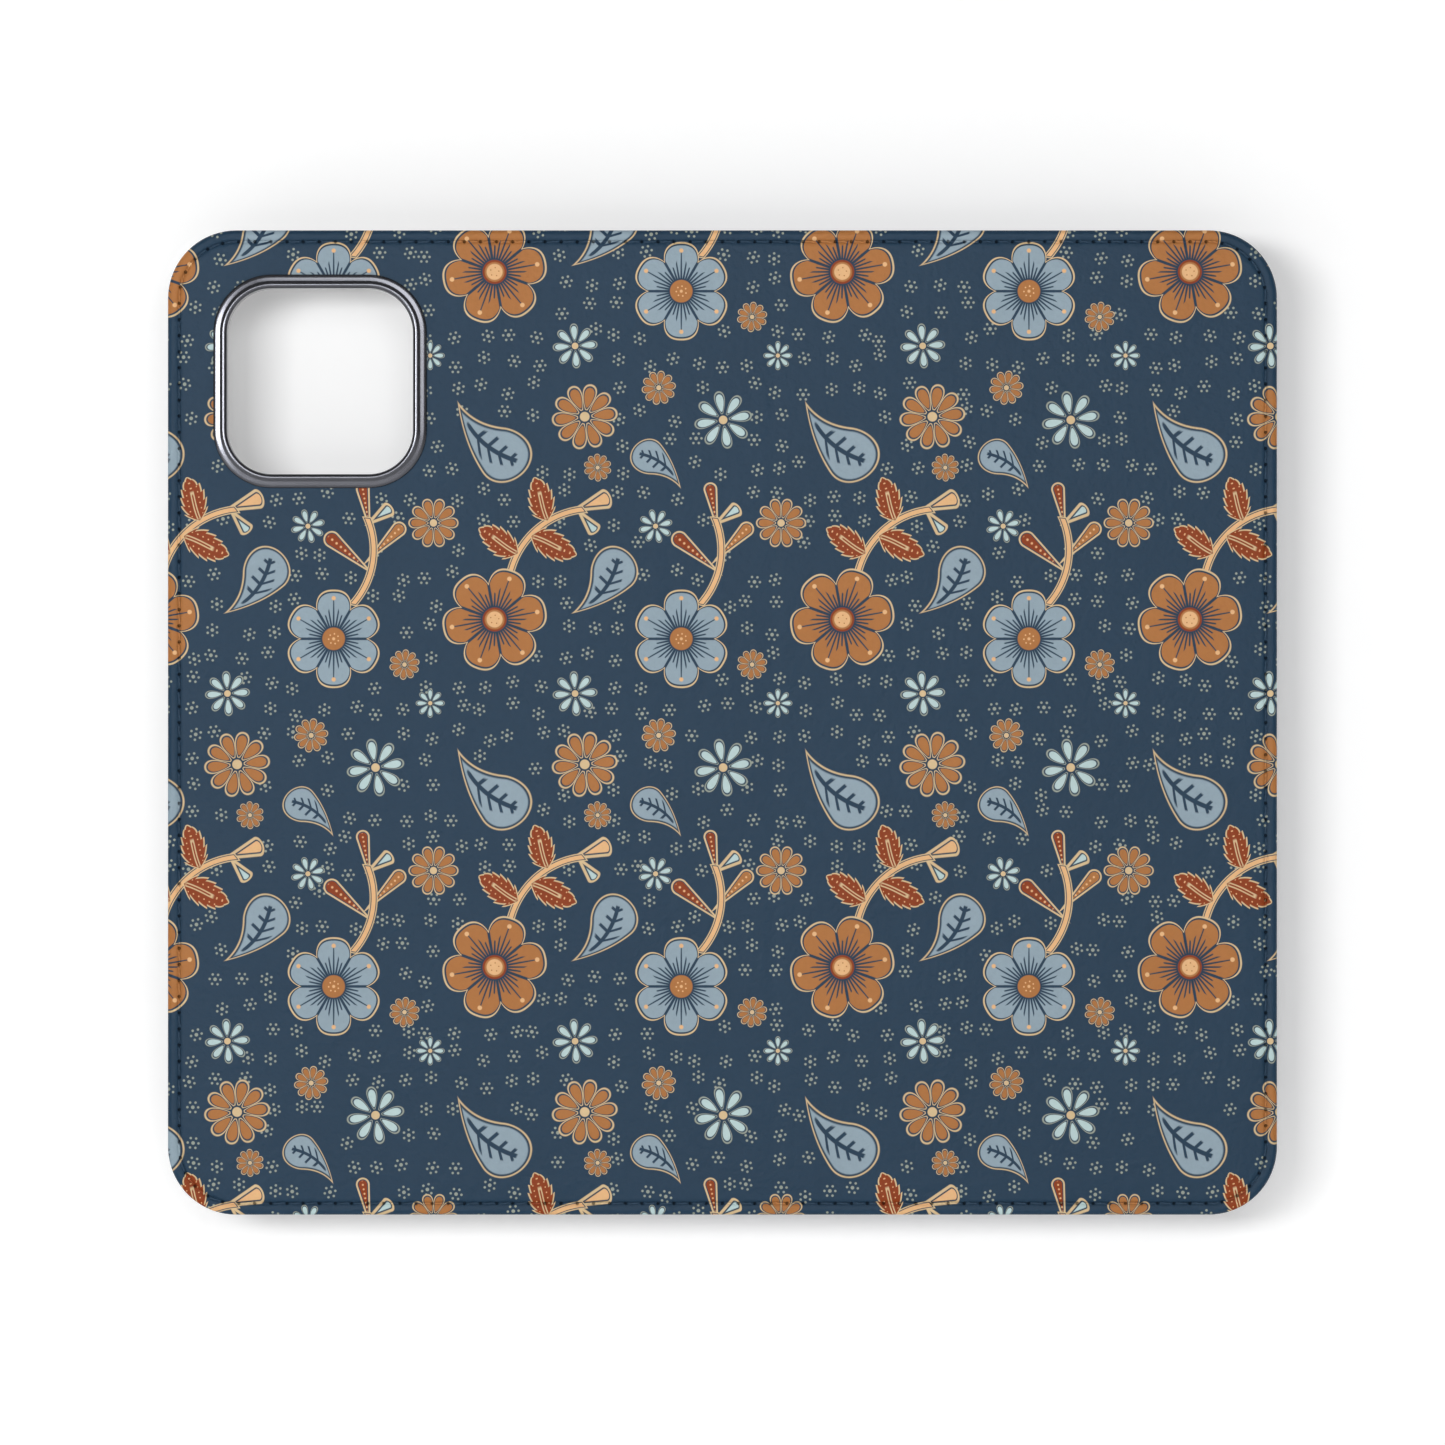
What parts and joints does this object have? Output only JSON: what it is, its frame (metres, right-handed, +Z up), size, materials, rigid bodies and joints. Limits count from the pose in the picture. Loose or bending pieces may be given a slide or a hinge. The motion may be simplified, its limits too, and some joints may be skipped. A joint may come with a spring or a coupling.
{
  "type": "folio phone case",
  "caption": "Book-style phone case opened flat: back panel with camera window and snap-in phone tray, folding spine, and front cover with card pockets.",
  "frame": {"origin": "centre of the phone's back, on the liner of the phone tray", "axes": "+X runs from the back panel across the spine to the front cover, +Y from the outside of the case to the inside, square to the phone's back, and +Z up along the phone's height"},
  "size_m": [0.1724, 0.0135, 0.153],
  "materials": {
    "printed_skin": "satin printed synthetic leather",
    "lining": "microfibre",
    "pocket": "fine-grained synthetic leather",
    "liner": "brushed microfibre",
    "thread": "polyester thread",
    "bezel": "polished dark",
    "tray": "soft-touch matte",
    "board": "pressed fibre board",
    "film": "clear adhesive film",
    "steel": "bare sheet",
    "magnet": "nickel plated"
  },
  "bodies": {
    "back_panel": {"back_skin": "printed_skin", "back_board": "board", "back_lining": "lining", "camera_bezel": "bezel", "bond_film": "film", "phone_tray": "tray", "tray_liner": "liner", "closure_keepers": "steel", "back_stitching": "thread"},
    "spine": {"spine_skin": "printed_skin", "spine_board": "board", "spine_lining": "lining", "spine_stitching": "thread"},
    "front_cover": {"front_skin": "printed_skin", "front_board": "board", "front_lining": "lining", "cash_pocket": "pocket", "card_pocket_rear": "pocket", "card_pocket_middle": "pocket", "card_pocket_front": "pocket", "closure_magnets": "magnet", "front_stitching": "thread", "pocket_stitching": "thread"}
  },
  "joints": [
    {"name": "spine_fold", "type": "hinge", "parent": "back_panel", "child": "spine", "pos_m": [0.0394, -0.00365, 0], "axis": [0, 0, 1], "range_deg": [-90, 90]},
    {"name": "cover_fold", "type": "hinge", "parent": "spine", "child": "front_cover", "pos_m": [0.0554, -0.00365, 0], "axis": [0, 0, 1], "range_deg": [-90, 90]}
  ]
}
